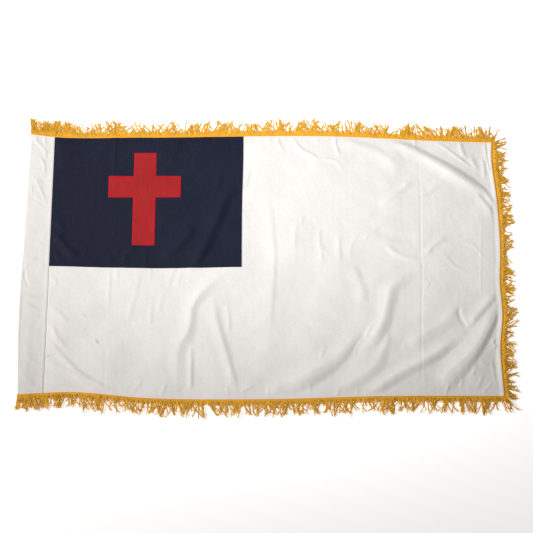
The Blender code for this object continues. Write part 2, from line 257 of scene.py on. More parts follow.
smallCreases = (
    # pressed creases that run down the cloth
    (-0.8, 6, 6, 0.8, ((525, 356), (526, 222), (521, 16), (524, -26), (515, -232), (510, -446))),
    (-0.7, 7, 7, 1, ((-532, -283), (-534, -440))),
    (-0.4, 6, 6, 0.8, ((467, 440), (465, 80))),
    (0.7, 6, 8, 0.8, ((733, 151), (724, 20), (718, -129))),
    (1.5, 6, 6, 0.6, ((529, -58), (545, -73), (531, -88))),
    # top fly corner
    (2.1, 5, 14, 0.6, ((757, 434), (758, 390), (764, 345), (767, 320))),
    (1, 5, 10, 0.6, ((772, 400), (774, 340))),
    (2.2, 14, 20, 1, ((745, 372), (750, 300))),
    (1.4, 5, 14, 0.5, ((587, 436), (640, 392), (701, 345))),
    (1.2, 5, 10, 0.5, ((604, 429), (661, 378), (714, 334))),
    (2.6, 16, 14, 0.8, ((668, 432), (672, 405), (684, 378))),
    (2.2, 18, 16, 0.8, ((704, 380), (712, 356), (724, 332))),
    (1.6, 8, 12, 0.7, ((513, 452), (514, 420))),
    # under the top edge
    (2.6, 7, 26, 0.5, ((88, 452), (119, 411), (154, 389), (178, 374))),
    (1.4, 5, 12, 0.6, ((178, 374), (240, 363), (266, 319))),
    (3.6, 8, 14, 0.5, ((239, 456), (241, 422), (251, 385))),
    (1, 7, 10, 0.7, ((9, 454), (12, 425))),
    (1.6, 9, 14, 0.7, ((37, 454), (45, 422), (56, 400))),
    (1, 7, 10, 0.7, ((63, 454), (64, 433))),
    (1, 8, 10, 0.7, ((174, 454), (175, 433))),
    (1.2, 12, 16, 0.9, ((-19, 352), (-40, 309))),
    (1.8, 10, 16, 0.8, ((-60, 325), (-72, 276))),
    (0.9, 8, 10, 0.8, ((133, 345), (91, 309))),
    # middle of the white field
    (1.8, 16, 44, 1, ((5, 227), (20, 87), (24, 6), (16, -129), (10, -245))),
    (1.9, 9, 20, 0.7, ((183, 126), (180, 76), (186, 44), (186, -10))),
    (1, 7, 10, 0.7, ((188, 55), (208, 27))),
    (1.3, 10, 20, 0.8, ((121, 168), (120, 143), (99, 122), (95, 23))),
    (-0.7, 5, 7, 0.7, ((-77, 193), (-53, 179), (22, 158), (77, 190), (138, 197))),
    (1.6, 14, 22, 0.9, ((247, 95), (243, 59), (246, 0))),
    (1, 8, 14, 0.8, ((325, 140), (267, 143))),
    (1.2, 8, 12, 0.8, ((380, 190), (335, 156))),
    (-0.5, 5, 6, 0.7, ((95, -201), (18, -235))),
    (-2, 30, 30, 1, ((357, 120), (440, 85), (520, 90))),
    # lower fly quarter
    (-2.6, 12, 14, 0.7, ((646, -153), (642, -177), (654, -205), (670, -225))),
    (1.2, 7, 10, 0.7, ((705, -346), (760, -360))),
    (1.6, 6, 8, 0.6, ((741, -410), (710, -443))),
    (1.3, 12, 16, 0.7, ((690, -352), (677, -387))),
    (1.6, 10, 12, 0.7, ((647, -397), (636, -424))),
    (1.3, 12, 14, 0.7, ((710, -387), (694, -426))),
    (0.9, 8, 10, 0.7, ((744, -330), (752, -400))),
    (1.4, 7, 10, 0.7, ((600, -418), (586, -448))),
    (2.2, 6, 8, 0.5, ((765, -259), (751, -272), (760, -286), (747, -296))),
    (1.6, 7, 12, 0.6, ((352, -214), (338, -236), (332, -262))),
    (1.4, 6, 10, 0.6, ((318, -262), (299, -292), (292, -318))),
    (1, 6, 10, 0.7, ((300, -262), (340, -280), (378, -272))),
    (1, 8, 12, 0.8, ((196, -282), (176, -330))),
    (-0.6, 6, 7, 0.8, ((448, -262), (444, -330), (440, -362))),
    (1.2, 10, 16, 0.8, ((312, 100), (286, 60), (282, 20))),
    (1, 8, 14, 0.8, ((392, 130), (352, 108), (330, 80))),
    (1.1, 9, 12, 0.8, ((600, 30), (630, -10), (676, -30))),
    (1, 9, 12, 0.8, ((640, 90), (700, 60), (735, 10))),
    # bottom hem
    (2, 8, 10, 0.6, ((-48, -421), (-87, -440))),
    (1.6, 8, 8, 0.6, ((-130, -425), (-124, -456))),
    (1.6, 7, 8, 0.6, ((5, -416), (5, -459))),
    (1.2, 8, 10, 0.7, ((146, -413), (140, -440))),
    (1.4, 10, 12, 0.8, ((-330, -410), (-345, -450))),
    (1.2, 10, 14, 0.8, ((-410, -400), (-440, -440))),
    (1.2, 7, 10, 0.7, ((300, -428), (296, -452))),
    (1.2, 7, 10, 0.7, ((238, -430), (230, -454))),
    # lower hoist quarter
    (1.6, 14, 22, 0.9, ((-737, -153), (-696, -174), (-661, -208))),
    (1.8, 16, 30, 1, ((-735, -340), (-647, -377), (-586, -420), (-553, -443))),
    (1.6, 8, 10, 0.7, ((-741, -45), (-707, -67), (-726, -91))),
    (-0.6, 6, 7, 0.7, ((-450, -249), (-535, -276))),
    # puckers under the canton
    (1.2, 8, 16, 0.6, ((-530, -18), (-528, -84), (-529, -147))),
    (1, 12, 22, 0.6, ((-431, -18), (-436, -95), (-451, -153), (-466, -222))),
    (1.3, 12, 22, 0.6, ((-312, -18), (-329, -88))),
    (1.3, 12, 20, 0.6, ((-345, -102), (-361, -167))),
    (1.2, 10, 12, 0.8, ((-386, -140), (-388, -222))),
    (1.4, 10, 16, 0.8, ((-288, -26), (-299, -81))),
    (1.2, 8, 12, 0.7, ((-503, -22), (-501, -60))),
    (1, 8, 12, 0.8, ((-391, -20), (-392, -60))),
    (1, 6, 8, 0.7, ((-180, -32), (-143, -73))),
    (0.9, 6, 8, 0.7, ((-42, -28), (-89, -53), (-143, -73))),
    (1.8, 10, 16, 0.7, ((-131, -140), (-123, -239))),
    # canton
    (6.4, 30, 24, 0.9, ((-528, 441), (-558, 419), (-592, 397), (-657, 382), (-698, 364), (-731, 342))),
    (3, 8, 18, 0.7, ((-521, 448), (-523, 392), (-524, 316))),
    (6.4, 27, 34, 0.9, ((-286, 438), (-340, 401), (-377, 372))),
    (7, 28, 36, 0.9, ((-182, 438), (-223, 427), (-274, 397), (-319, 379), (-342, 343))),
    (5.2, 26, 36, 0.9, ((-265, 216), (-315, 177), (-372, 138))),
    (3.4, 22, 30, 0.9, ((-159, 312), (-179, 244))),
    (7.2, 30, 42, 0.9, ((-249, 131), (-292, 67), (-356, 12))),
    (3.4, 20, 26, 0.9, ((-688, 124), (-726, 148))),
    (5.8, 24, 30, 0.9, ((-720, 98), (-685, 57), (-639, 12))),
    (2.8, 14, 20, 0.8, ((-718, 40), (-693, 8))),
    (-0.6, 6, 6, 0.8, ((-579, 403), (-580, 233), (-581, 80), (-582, -1))),
    (2.2, 10, 12, 0.7, ((-531, 30), (-526, -4))),
    (5.6, 22, 28, 0.8, ((-433, 58), (-470, 33), (-483, -2))),
    (2.2, 12, 14, 0.7, ((-413, 40), (-408, -4))),
)

clothForm = {
    "thickness": 0.0010,  # from its underside to its face
    "shownThickness": 0.0007,  # of the sheet itself
    "base": 0.0016,  # how high the cloth lies off the floor between folds
    # over what width beside an edge each rises, and how far along its rise it is at the edge itself
    "baseEdge": (0.04, 0.35),
    "swellEdge": (0.03, 0.25),
    "foldMargin": 0.026,  # folds die down over this width beside an edge
    "foldAtEdge": 0.24,  # and this share of their height goes on under the heading
    "flyHemRise": 0.0032,
    "flyHemWidth": 0.017,
    "seamRise": 0.0013,  # the cloth rises beside the sleeve's seam
    "seamRun": 0.004,
    "seamWidth": 0.030,
    # length of a wave, height, stretch along Y, seed
    "swells": (
        (0.190, 0.00090, 1.0, 3), (0.070, 0.00024, 1.4, 5), (0.030, 0.00009, 1.8, 8),
        (0.015, 0.00004, 1.3, 9),
    ),
}


# the crest in metres as a smooth run of places, each with its shares of height and of width
def crestCurve(points, samples=16):
    points = np.array([(*point, 1.0, 1.0)[:4] for point in points])
    points[:, :2] /= 1000
    steps = np.arange(len(points))
    fine = np.linspace(0, len(points) - 1, samples)
    return np.stack([smoothLine(list(zip(steps, points[:, column])), fine) for column in range(4)], axis=1)


# height that one fold gives the cloth at each place, dying out at both ends of its crest
def ridge(fold, x, y, endFade=0.20, endShare=0.25, crestRound=0.07):
    height, leftFlank, rightFlank = (length / 1000 for length in fold[:3])
    steepest, crest = fold[3], crestCurve(fold[4])
    reach = max(leftFlank * crest[:, 3].max(), rightFlank)
    low, high = crest.min(0) - reach, crest.max(0) + reach
    near = (x > low[0]) & (x < high[0]) & (y > low[1]) & (y < high[1])
    nearX, nearY = x[near], y[near]
    best = np.full(nearX.shape, np.inf)
    lift = np.zeros(nearX.shape)
    footRound = math.sqrt(1 + crestRound ** 2) - crestRound
    for i in range(len(crest) - 1):
        run = crest[i + 1] - crest[i]
        dx, dy = nearX - crest[i, 0], nearY - crest[i, 1]
        t = np.clip((dx * run[0] + dy * run[1]) / (run[:2] @ run[:2]), 0, 1)
        away = np.hypot(dx - t * run[0], dy - t * run[1])
        onLeft = run[0] * dy - run[1] * dx > 0
        s = np.clip(away / np.where(onLeft, leftFlank * (crest[i, 3] + t * run[3]), rightFlank), 0, 1)
        rounded = (np.sqrt(s * s + crestRound ** 2) - crestRound) / footRound
        travelled = (i + t) / (len(crest) - 1)
        ends = ease(travelled / endFade) * ease((1 - travelled) / endFade) * (1 - endShare) + endShare
        ends = ends * (crest[i, 2] + t * run[2])
        flank = np.where(onLeft, 1 - ease(rounded ** steepest), (1 - rounded) ** 2)
        lift = np.where(away < best, ends * flank, lift)
        best = np.minimum(best, away)
    total = np.zeros(x.shape)
    total[near] = height * lift
    return total


# soft unevenness made of many low waves, about as long as given
def swell(x, y, length, height, stretch, seed, waves=22, shortest=0.7, longest=1.5):
    rng = np.random.default_rng(seed)
    total = np.zeros(x.shape)
    for _ in range(waves):
        turn = rng.uniform(0, math.pi)
        wave = length * rng.uniform(shortest, longest)
        phase = rng.uniform(0, 2 * math.pi)
        total += np.sin(2 * math.pi * (x * math.cos(turn) + y * math.sin(turn) / stretch) / wave + phase)
    return total * height / math.sqrt(waves / 2)


# height of the cloth's underside
def clothRise(x, y):
    form = clothForm
    folds = sum(ridge(fold, x, y) ** 2 for fold in mainFolds) ** 0.5
    toFly = smoothLine(flyLine, y) - x
    toEdge = np.minimum(smoothLine(topLine, x) - y, y - smoothLine(bottomLine, x))
    toEdge = np.minimum(toEdge, toFly)
    atEdge = form["foldAtEdge"]
    folds *= atEdge + (1 - atEdge) * ease(toEdge / form["foldMargin"])
    baseWidth, baseStart = form["baseEdge"]
    swellWidth, swellStart = form["swellEdge"]
    low = form["base"] * ease(toEdge / baseWidth + baseStart)
    for wave in form["swells"]:
        low = low + swell(x, y, *wave) * ease(toEdge / swellWidth + swellStart)
    for crease in smallCreases:
        low = low + ridge(crease, x, y)
    low = low + form["flyHemRise"] * ease(1 - toFly / form["flyHemWidth"])
    fromSeam = ease((x - seamX) / form["seamWidth"])
    seam = form["seamRise"] * ease((x - seamX) / form["seamRun"]) * (1 - fromSeam)
    return np.maximum((folds + low) * fromSeam, 0.0) + seam


# the marks, with each gap between two of them cut evenly into parts no longer than a cell
def divide(marks, cell, partsOf=1):
    lines = [marks[0]]
    for start, end in zip(marks, marks[1:]):
        count = math.ceil((end - start) / cell / partsOf - 1e-6) * partsOf
        lines.extend(start + (end - start) * k / count for k in range(1, count + 1))
    return np.array(lines)


# Pieces from points

smoothUpTo = 55  # degrees between faces, which are shaded as one surface up to there


def addPiece(name, mesh, finish, node):
    piece = bpy.data.objects.new(name, mesh)
    flagCollection.objects.link(piece)
    mesh.materials.append(finish)
    mesh.shade_smooth()
    mesh.set_sharp_from_angle(angle=math.radians(smoothUpTo))
    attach(piece, "root")
    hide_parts(node)
    return piece


def thicken(piece, thickness, offset):
    solid = piece.modifiers.new("thickness", "SOLIDIFY")
    solid.thickness = thickness
    solid.offset = offset


def newMesh(name, points, faces):
    mesh = bpy.data.meshes.new(name)
    mesh.from_pydata(np.reshape(points, (-1, 3)).tolist(), [], faces)
    mesh.validate()
    return mesh


# how deep the yarn's colour is at each point: its own tone, and on the satin edge painted shade in the
# grooves
def setTone(mesh, tones):
    tone = mesh.attributes.new("tone", "FLOAT", "POINT")
    tone.data.foreach_set("value", np.asarray(tones, np.float32))


# the yarn's own coordinates at each point: along it and round it
def setUv(mesh, along, around):
    uv = mesh.uv_layers.new(name="alongYarn")
    corners = np.array([loop.vertex_index for loop in mesh.loops])
    uv.data.foreach_set("uv", np.stack([along, around], axis=1)[corners].astype(np.float32).ravel())


# the numbers of a grid's points
def numbered(*shape):
    return np.arange(math.prod(shape)).reshape(shape)


# quads between the rows of a grid of numbered points, or round it where its rows are rings
def gridQuads(numbers, rings=False):
    if rings:
        numbers = np.concatenate([numbers, numbers[:, :1]], axis=1)
    corners = (numbers[:-1, :-1], numbers[:-1, 1:], numbers[1:, 1:], numbers[1:, :-1])
    return np.stack(corners, axis=-1).reshape(-1, 4)


# a closed sheet: a fine upper face, an underside with every third line, and a rim between them
def closedSheet(name, topPoints, thickness, coarse=3):
    rows, columns = topPoints.shape[:2]
    under = topPoints[::coarse, ::coarse].copy()
    under[..., 2] -= thickness
    top = numbered(rows, columns)
    low = top.size + numbered(*under.shape[:2])
    faces = gridQuads(top).tolist() + gridQuads(low)[:, ::-1].tolist()
    for turn in range(4):
        upperRim, lowerRim = (np.rot90(numbers, turn)[0] for numbers in (top, low))
        for i in range(len(lowerRim) - 1):
            stretch = upperRim[i * coarse:(i + 1) * coarse + 1][::-1]
            faces.append([*stretch.tolist(), int(lowerRim[i]), int(lowerRim[i + 1])])
    return newMesh(name, np.concatenate([topPoints.reshape(-1, 3), under.reshape(-1, 3)]), faces)


# round threads along many paths at once: paths is (thread, point, xyz), radii is (thread, point)
def threadMesh(name, paths, radii, tones, sides=4):
    count, steps = paths.shape[:2]
    along = np.gradient(paths, axis=1)
    along /= np.linalg.norm(along, axis=2, keepdims=True) + 1e-12
    aside = np.cross(np.array((0.0, 0.0, 1.0)), along)
    aside /= np.linalg.norm(aside, axis=2, keepdims=True) + 1e-12
    upward = np.cross(along, aside)
    turns = (np.arange(sides) + 0.5) * 2 * math.pi / sides
    around = aside[:, :, None] * np.cos(turns)[:, None] + upward[:, :, None] * np.sin(turns)[:, None]
    points = paths[:, :, None] + around * radii[:, :, None, None]
    numbers = numbered(count, steps, sides)
    wrapped = np.concatenate([numbers, numbers[:, :, :1]], axis=2)
    corners = (wrapped[:, :-1, :-1], wrapped[:, :-1, 1:], wrapped[:, 1:, 1:], wrapped[:, 1:, :-1])
    walls = np.stack(corners, axis=-1).reshape(-1, 4).tolist()
    mesh = newMesh(name, points, walls + numbers[:, 0, ::-1].tolist() + numbers[:, -1].tolist())
    setTone(mesh, np.repeat(tones, steps * sides))
    return mesh


# Finishes

def newMaterial(name, roughness, specular, sheen, sheenRoughness=0.6):
    finish = bpy.data.materials.new(name)
    finish.use_nodes = True
    shader = finish.node_tree.nodes["Principled BSDF"]
    setInputs(shader, {"Roughness": roughness, "Specular IOR Level": specular})
    setInputs(shader, {"Sheen Weight": sheen, "Sheen Roughness": sheenRoughness})
    return finish, finish.node_tree, shader.inputs


# a group's inputs are names with their usual values, None for a vector, and its outputs are plain numbers
def newGroup(name, inputs, outputs):
    tree = bpy.data.node_groups.new(name, "ShaderNodeTree")
    for label, value in inputs.items():
        kind = "NodeSocketVector" if value is None else "NodeSocketFloat"
        socket = tree.interface.new_socket(name=label, in_out="INPUT", socket_type=kind)
        if value is not None:
            socket.default_value = value
    for label in outputs:
        tree.interface.new_socket(name=label, in_out="OUTPUT", socket_type="NodeSocketFloat")
    return tree, tree.nodes.new("NodeGroupInput").outputs, tree.nodes.new("NodeGroupOutput").inputs


# a node with its settings made and its inputs filled, by name or as i and a number; a socket is linked
def addNode(tree, kind, settings=None, **values):
    node = tree.nodes.new(kind)
    for key, value in (settings or {}).items():
        setattr(node, key, value)
    for key, value in values.items():
        numbered = key[0] == "i" and key[1:].isdigit()
        socket = node.inputs[int(key[1:]) if numbered else key.replace("_", " ")]
        if isinstance(value, bpy.types.NodeSocket):
            tree.links.new(value, socket)
        else:
            socket.default_value = value
    return node.outputs


def useGroup(tree, group, **values):
    return addNode(tree, "ShaderNodeGroup", {"node_tree": group}, **values)


def maths(tree, operation, first, second=0.0):
    return addNode(tree, "ShaderNodeMath", {"operation": operation}, i0=first, i1=second)[0]


def times(tree, first, second):
    return maths(tree, "MULTIPLY", first, second)


# values added up, each times its share
def weigh(tree, *parts):
    total = times(tree, *parts[0])
    for value, share in parts[1:]:
        total = maths(tree, "ADD", total, times(tree, value, share))
    return total


def mixColours(tree, share, first, second):
    return addNode(tree, "ShaderNodeMix", {"data_type": "RGBA"}, i0=share, i6=first, i7=second)[2]


# a value brought from one range to another, and kept inside it
def spread(tree, value, low, high, toLow=0.0, toHigh=1.0):
    return addNode(tree, "ShaderNodeMapRange", None, i0=value, i1=low, i2=high, i3=toLow, i4=toHigh)[0]


# plain weave: one thread over, one under, with narrow gaps between; the Gaps output places painted shade
# between the threads
def buildFlagWeave(gapPower=3.0):
    tree, given, result = newGroup(
        "flagWeave", {"Vector": None, "Threads per metre": 1800.0}, ("Height", "Gaps"))
    place = addNode(tree, "ShaderNodeSeparateXYZ", Vector=given["Vector"])
    pitch = times(tree, given["Threads per metre"], math.pi)
    warp, weft = (maths(tree, "SINE", times(tree, place[axis], pitch)) for axis in (0, 1))
    over = maths(tree, "GREATER_THAN", times(tree, warp, weft), 0.0)
    under = maths(tree, "SUBTRACT", 1.0, over)
    warpRound, weftRound = maths(tree, "ABSOLUTE", warp), maths(tree, "ABSOLUTE", weft)
    tree.links.new(weigh(tree, (warpRound, over), (weftRound, under)), result["Height"])
    gapShade = maths(tree, "SUBTRACT", 1.0, times(tree, warpRound, weftRound))
    tree.links.new(maths(tree, "POWER", gapShade, gapPower), result["Gaps"])
    return tree


# soft patches where cloth is a little greyer or flatter, the streaks of its threads, lint and nap
def buildClothWear(streakStretch=(1.0, 0.045, 1.0)):
    tree, given, result = newGroup(
        "clothWear", {"Vector": None, "Patch scale": 7.0, "Streak scale": 260.0},
        ("Patches", "Streaks", "Lint", "Nap"))
    place = given["Vector"]
    drawn = addNode(tree, "ShaderNodeVectorMath", {"operation": "MULTIPLY"}, i0=place, i1=streakStretch)[0]
    effects = (
        # output, place, scale, detail, roughness, and the range of the noise that shows
        ("Patches", place, given["Patch scale"], 4.0, 0.5, 0.35, 0.68),
        ("Streaks", drawn, given["Streak scale"], 2.0, 0.5, 0.35, 0.65),
        ("Lint", place, 420.0, 1.0, 0.5, 0.70, 0.78),
        ("Nap", place, 230.0, 3.0, 0.7, 0.38, 0.62),
    )
    for label, where, scale, detail, rough, low, high in effects:
        noise = addNode(tree, "ShaderNodeTexNoise", Vector=where, Scale=scale, Detail=detail, Roughness=rough)
        tree.links.new(spread(tree, noise["Fac"], low, high), result[label])
    return tree


# one faint mark at a place on the cloth, with a rippled edge that fades
def buildSmudge(rippleScale=140.0, ripples=(0.6, 2.2), fade=1.3):
    tree, given, result = newGroup(
        "smudge", {"Vector": None, "Middle": None, "Turn": 0.0, "Length": 0.01, "Width": 0.003}, ("Mask",))
    place, middle = given["Vector"], given["Middle"]
    ripple = addNode(tree, "ShaderNodeTexNoise", Vector=place, Scale=rippleScale, Detail=2.0)["Fac"]
    turned = addNode(tree, "ShaderNodeVectorRotate", {"rotation_type": "Z_AXIS"}, Vector=place, Center=middle,
                     Angle=given["Turn"])[0]
    offset = addNode(tree, "ShaderNodeVectorMath", {"operation": "SUBTRACT"}, i0=turned, i1=middle)[0]
    parts = addNode(tree, "ShaderNodeSeparateXYZ", Vector=offset)
    alongMark = maths(tree, "DIVIDE", parts[0], given["Length"])
    acrossMark = maths(tree, "DIVIDE", parts[1], given["Width"])
    away = weigh(tree, (alongMark, alongMark), (acrossMark, acrossMark))
    uneven = times(tree, away, spread(tree, ripple, 0.3, 0.7, *ripples))
    tree.links.new(spread(tree, uneven, 0.0, fade, 1.0, 0.0), result["Mask"])
    return tree


# the slanting plies of a twisted yarn or braid, along its own length
def buildYarnTwist():
    tree, given, result = newGroup(
        "yarnTwist", {"Vector": None, "Turns per metre": 700.0, "Slant": 1.0}, ("Height", "Shade"))
    parts = addNode(tree, "ShaderNodeSeparateXYZ", Vector=given["Vector"])
    turns = weigh(tree, (parts[0], given["Turns per metre"]), (parts[1], given["Slant"]))
    wave = maths(tree, "SINE", times(tree, turns, 2 * math.pi))
    tree.links.new(maths(tree, "ABSOLUTE", wave), result["Height"])
    tree.links.new(spread(tree, wave, -1.0, 1.0), result["Shade"])
    return tree


flagWeave = buildFlagWeave()
clothWear = buildClothWear()
smudge = buildSmudge()
yarnTwist = buildYarnTwist()

plainCloth = {
    "threads": 1900.0,  # to the metre
    "patchScale": 7.0,
    # how far each kind of wear takes the cloth from its colour to its dull one
    "patches": 0.35,
    "streaks": 0.20,
    "nap": 0.95,
    # painted shade between the threads: how far the gaps are taken to the mark's colour
    "gapShade": 0.10,  # how much of the mark's colour shows between the threads
    "lint": 0.0,
    "marks": (),
    "roughness": (0.80, 0.92),
    "specular": 0.20,
    "sheen": 0.08,
    "streakHeight": 0.8,
    "relief": (0.5, 0.00012),  # strength and height of the weave
}
dyedCloth = {
    **plainCloth,
    "threads": 1700.0,
    "patchScale": 11.0,
    "patches": 0.40,
    "streaks": 0.25,
    "nap": 0.50,
    "gapShade": 0.35,
    "lintColour": (0.5, 0.5, 0.55, 1.0),
    "roughness": (0.70, 0.80),
    "specular": 0.15,
    "sheen": 0.05,
    "streakHeight": 0.0,
    "relief": (0.6, 0.00015),
}
whiteFinish = {
    **plainCloth,
    "colour": (0.802, 0.794, 0.766, 1.0),
    "dull": (0.740, 0.733, 0.714, 1.0),
    # the colour of the stains, and also of the painted shade between the threads
    "mark": (0.38, 0.33, 0.27, 1.0),
    # middle, turn, length, width, strength
    "marks": (
        ((-0.606, -0.183, 0.0), 0.5, 0.012, 0.0032, 0.40),
        ((-0.562, -0.272, 0.0), 0.9, 0.010, 0.0050, 0.50),
        ((-0.722, -0.320, 0.0), -0.9, 0.007, 0.0036, 0.30),
        ((-0.632, -0.191, 0.0), 0.0, 0.0030, 0.0030, 0.28),
        ((-0.673, -0.157, 0.0), 0.0, 0.0030, 0.0030, 0.25),
        # the last is a thin faint darker line down the crease below the canton
        ((-0.521, -0.072, 0.0), 1.55, 0.040, 0.0030, 0.12),
    ),
}
# painted light: the same white cloth as the field, coloured a little lighter on the sleeve
sleeveLitFinish = {
    **plainCloth,
    "colour": (0.815, 0.800, 0.775, 1.0),
    "dull": (0.765, 0.752, 0.733, 1.0),
    # the colour of the stains, and also of the painted shade between the threads
    "mark": (0.40, 0.38, 0.37, 1.0),
    "marks": (
        ((-0.778, 0.013, 0.0), 0.9, 0.014, 0.008, 0.16),
        ((-0.799, -0.111, 0.0), 0.4, 0.018, 0.010, 0.10),
        ((-0.775, -0.119, 0.0), 0.3, 0.026, 0.007, 0.15),
        ((-0.777, -0.153, 0.0), 0.5, 0.028, 0.007, 0.22),
        ((-0.759, -0.184, 0.0), 1.2, 0.012, 0.006, 0.20),
        # the last is a long strip along the hoist fold's left edge, darker there
        ((-0.822, -0.200, 0.0), 1.571, 0.280, 0.008, 0.30),
    ),
}
navyFinish = {
    **dyedCloth,
    "colour": (0.0030, 0.0052, 0.0190, 1.0),
    "dull": (0.0108, 0.0140, 0.0345, 1.0),
    # this cloth has no stains: its mark colour is only the painted shade between its threads
    "mark": (0.0012, 0.00208, 0.0076, 1.0),
    "lint": 0.05,
}
redFinish = {
    **dyedCloth,
    "colour": (0.455, 0.0155, 0.0175, 1.0),
    "dull": (0.280, 0.0105, 0.0125, 1.0),
    # this cloth has no stains: its mark colour is only the painted shade between its threads
    "mark": (0.182, 0.0062, 0.0070, 1.0),
    "lint": 0.02,
}
twistedYarn = {
    "turns": 900.0,  # to the metre
    "slant": 1.0,
    # how far each takes the yarn from its light colour to its deep one
    "tone": 0.60,
    "patches": 0.25,
    "plies": 0.15,
    "patchScale": 30.0,
    "roughness": 0.55,
    "roughnessByTone": (-0.08, 0.12),
    "specular": 0.25,
    "sheen": 0.1,
    "relief": (0.6, 0.0003),
}
goldYarnFinish = {
    **twistedYarn, "turns": 800.0, "light": (0.880, 0.480, 0.024, 1.0), "deep": (0.600, 0.285, 0.009, 1.0),
}
goldNetFinish = {**goldYarnFinish, "turns": 900.0}
goldBraidFinish = {
    **twistedYarn, "turns": 700.0, "slant": 0.0,
    "light": (0.895, 0.388, 0.013, 1.0), "deep": (0.460, 0.210, 0.010, 1.0),
}
redSatinFinish = {
    **twistedYarn, "turns": 0.0, "slant": 0.0, "roughness": 0.42, "specular": 0.06, "sheen": 0.0,
    "light": (0.620, 0.0014, 0.0140, 1.0), "deep": (0.480, 0.0011, 0.0100, 1.0),
}
# white thread coloured grey: painted shadow of the needle holes, so the seam's stitches read as dark dashes
shadowGreyThreadFinish = {**twistedYarn, "light": (0.62, 0.61, 0.59, 1.0), "deep": (0.46, 0.45, 0.44, 1.0)}
navyThreadFinish = {**twistedYarn, "light": (0.022, 0.023, 0.050, 1.0), "deep": (0.010, 0.011, 0.028, 1.0)}


def clothMaterial(name, look):
    finish, tree, shader = newMaterial(name, look["roughness"][0], look["specular"], look["sheen"])
    place = addNode(tree, "ShaderNodeTexCoord")["Object"]
    wear = useGroup(tree, clothWear, Vector=place, Patch_scale=look["patchScale"])
    weave = useGroup(tree, flagWeave, Vector=place, Threads_per_metre=look["threads"])
    shade = weigh(tree, (wear["Patches"], look["patches"]), (wear["Streaks"], look["streaks"]),
                  (wear["Nap"], look["nap"]))
    colour = mixColours(tree, shade, look["colour"], look["dull"])
    for middle, turn, length, width, strength in look["marks"]:
        mark = useGroup(tree, smudge, Vector=place, Middle=middle, Turn=turn, Length=length, Width=width)
        colour = mixColours(tree, times(tree, mark["Mask"], strength), colour, look["mark"])
    if look["lint"]:
        colour = mixColours(tree, times(tree, wear["Lint"], look["lint"]), colour, look["lintColour"])
    # painted shade: the gaps between the threads darkened towards the mark's colour
    colour = mixColours(tree, times(tree, weave["Gaps"], look["gapShade"]), colour, look["mark"])
    tree.links.new(colour, shader["Base Color"])
    tree.links.new(spread(tree, wear["Patches"], 0.0, 1.0, *look["roughness"]), shader["Roughness"])
    surface = maths(tree, "ADD", weave["Height"], times(tree, wear["Streaks"], look["streakHeight"]))
    relief, height = look["relief"]
    bump = addNode(tree, "ShaderNodeBump", Strength=relief, Distance=height, Height=surface)
    tree.links.new(bump[0], shader["Normal"])
    return finish


def yarnMaterial(name, look):
    rough = look["roughness"]
    finish, tree, shader = newMaterial(name, rough, look["specular"], look["sheen"])
    given = addNode(tree, "ShaderNodeTexCoord")
    twist = useGroup(tree, yarnTwist, Vector=given["UV"], Turns_per_metre=look["turns"], Slant=look["slant"])
    wear = useGroup(tree, clothWear, Vector=given["Object"], Patch_scale=look["patchScale"])
    tone = addNode(tree, "ShaderNodeAttribute", {"attribute_name": "tone"})["Fac"]
    shade = weigh(tree, (tone, look["tone"]), (wear["Patches"], look["patches"]),
                  (twist["Shade"], look["plies"]))
    tree.links.new(mixColours(tree, shade, look["light"], look["deep"]), shader["Base Color"])
    smooth, dry = look["roughnessByTone"]
    tree.links.new(spread(tree, tone, 0.0, 1.0, rough + smooth, rough + dry), shader["Roughness"])
    relief, height = look["relief"]
    bump = addNode(tree, "ShaderNodeBump", Strength=relief, Distance=height, Height=twist["Height"])
    tree.links.new(bump[0], shader["Normal"])
    return finish


whiteCloth = clothMaterial("whiteCloth", whiteFinish)
sleeveLitWhite = clothMaterial("sleeveLitWhite", sleeveLitFinish)
navyCloth = clothMaterial("navyCloth", navyFinish)
redCloth = clothMaterial("redCloth", redFinish)
redSatin = yarnMaterial("redSatin", redSatinFinish)
goldBraid = yarnMaterial("goldBraid", goldBraidFinish)
goldNet = yarnMaterial("goldNet", goldNetFinish)
goldYarn = yarnMaterial("goldYarn", goldYarnFinish)
shadowGreyThread = yarnMaterial("shadowGreyThread", shadowGreyThreadFinish)
navyThread = yarnMaterial("navyThread", navyThreadFinish)
print("finishes made")

# Field, canton and cross

fieldPiece = {
    # where each band of cells starts, and how long its cells are: shorter where the folds are small
    "columnBands": (
        (seamX - seamOverlap, 0.0048), (seamX + 0.012, 0.0048), (-0.083, 0.0046), (0.500, 0.0022),
        (0.536, 0.0034), (0.742, 0.0022),
    ),
    "rowBands": ((-lowerHeight - hemUnderFringe, 0.0040), (0.050, 0.0060), (0.280, 0.0033)),
    # how far it stays below the canton, and from where inside the canton's edge, over what width
    "hiddenUnderCanton": 0.0003,
    "hiddenFrom": 0.002,
    "hiddenWidth": 0.006,
}
cantonPiece = {
    "cell": 0.0046,
    "thickness": 0.0008,
    "clear": 0.0002,
    # its right edge is drawn towards the fly near the top: how far, over what width, from what height up,
    # and over what height that grows
    "topPull": 0.004,
    "pullWidth": 0.12,
    "pullFrom": 0.17,
    "pullHeight": 0.25,
}
crossPiece = {
    "cell": 0.0040,
    "thickness": 0.0007,
    "clear": 0.0002,
    "height": 0.329,
    "span": 0.248,
    "armWidth": 0.077,
    "foot": 0.080,  # its places are measured up from the canton's lower edge
    "barFoot": 0.249,
    "centreInset": 0.316,  # and in from the canton's left edge
    "satinWidth": 0.0052,
    "satinHeight": 0.0011,
    "satinPitch": 0.0011,
    "satinPoints": 7,  # across the band
    "satinRound": 0.6,
    "satinNotch": 0.20,  # every other place along it is this share lower
    "satinSink": 0.0002,
    # painted shade: how much deeper red the grooves between the satin threads are
    "satinGrooveShade": 0.7,
}
